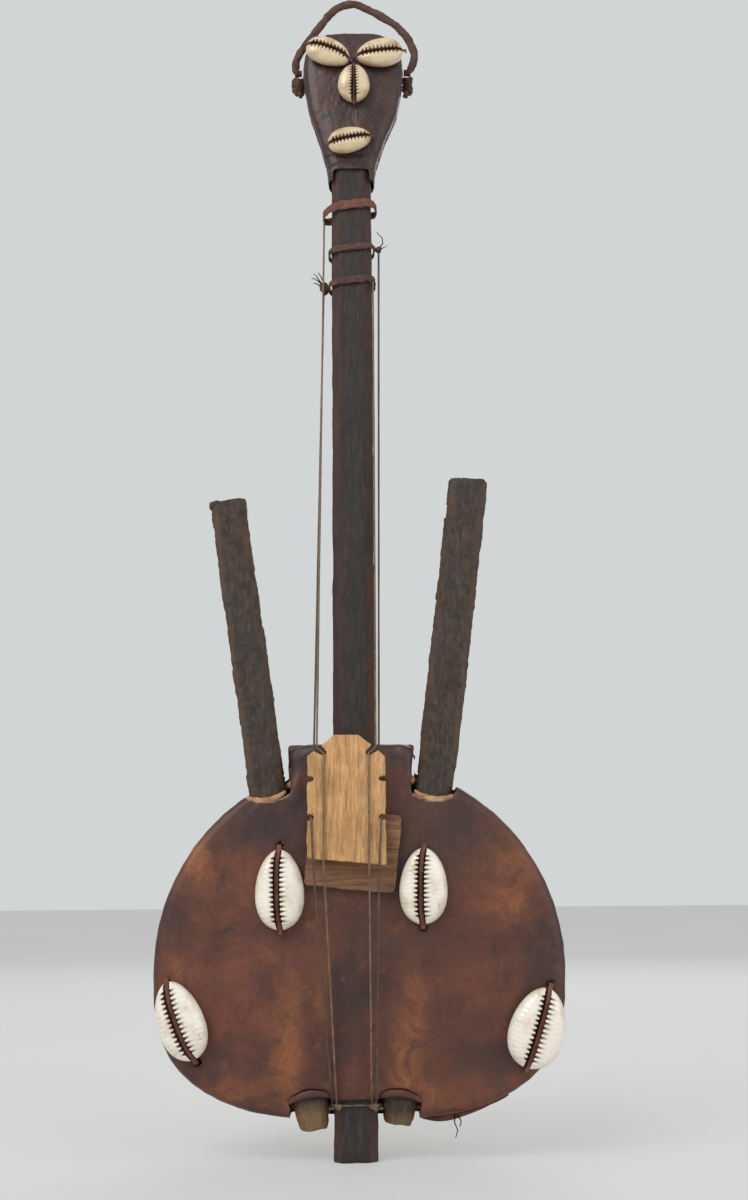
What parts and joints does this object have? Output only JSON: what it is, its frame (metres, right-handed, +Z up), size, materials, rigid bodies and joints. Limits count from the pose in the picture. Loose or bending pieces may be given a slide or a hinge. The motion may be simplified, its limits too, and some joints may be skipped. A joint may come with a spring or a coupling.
{
  "type": "kora",
  "caption": "Small harp-lute with a half calabash body under stretched hide, hand posts, notched bridge, sliding tuning rings and a cowrie-faced leather head.",
  "frame": {"origin": "centre of the tail post's lower end face", "axes": "+Z up along the neck, strings and cowries towards -Y, +X to the viewer's right"},
  "size_m": [0.1594, 0.0768, 0.4877],
  "materials": {
    "dark_wood": "dark hand-cut stick, worn",
    "hewn_wood": "rough branch, dull brown",
    "pale_wood": "unfinished, streaky grain",
    "brown_wood": "unfinished, brown",
    "calabash": "dried gourd, satin",
    "body_hide": "stretched hide, dyed red-brown",
    "head_leather": "dark red-brown, worn",
    "thong_leather": "dull, dry",
    "cowrie_shell": "glossy cream shell",
    "string": "clear to tan fishing line"
  },
  "bodies": {
    "kora": {"neck_stick": "dark_wood", "handpost_left": "hewn_wood", "handpost_right": "hewn_wood", "gourd_bowl": "calabash", "hide_cover": "body_hide", "head_front_leather": "head_leather", "head_back_leather": "head_leather", "head_core": "brown_wood", "loop_knot_left": "thong_leather", "loop_knot_right": "thong_leather", "bridge_plate": "pale_wood", "bridge_base": "brown_wood", "string_left_inner": "string", "string_left_outer": "string", "string_right_inner": "string", "string_right_outer": "string", "tail_binding": "string", "cowrie_upper_left": "cowrie_shell", "thong_upper_left": "thong_leather", "cowrie_upper_right": "cowrie_shell", "thong_upper_right": "thong_leather", "cowrie_lower_left": "cowrie_shell", "thong_lower_left": "thong_leather", "cowrie_lower_right": "cowrie_shell", "thong_lower_right": "thong_leather", "cowrie_eye_left": "cowrie_shell", "thong_eye_left": "thong_leather", "cowrie_eye_right": "cowrie_shell", "thong_eye_right": "thong_leather", "cowrie_nose": "cowrie_shell", "thong_nose": "thong_leather", "cowrie_mouth": "cowrie_shell", "thong_mouth": "thong_leather"},
    "ring_1": {"tuning_ring_1": "thong_leather"},
    "ring_2": {"tuning_ring_2": "thong_leather"},
    "ring_3": {"tuning_ring_3": "thong_leather"},
    "loop": {"hanging_loop": "thong_leather"}
  },
  "joints": [
    {"name": "tuning_ring_1_slide", "type": "slide", "parent": "kora", "child": "ring_1", "axis": [0, 0, 1], "range_m": [-0.004, 0.004], "deforming": ["string_left_inner"]},
    {"name": "tuning_ring_2_slide", "type": "slide", "parent": "kora", "child": "ring_2", "axis": [0, 0, 1], "range_m": [-0.004, 0.004], "deforming": ["string_right_outer"]},
    {"name": "tuning_ring_3_slide", "type": "slide", "parent": "kora", "child": "ring_3", "axis": [0, 0, 1], "range_m": [-0.004, 0.004], "deforming": ["string_left_outer", "string_right_inner"]},
    {"name": "hanging_loop_fold", "type": "hinge", "parent": "kora", "child": "loop", "pos_m": [0, 0.0045, 0.452], "axis": [1, 0, 0], "range_deg": [-80, 0]}
  ]
}
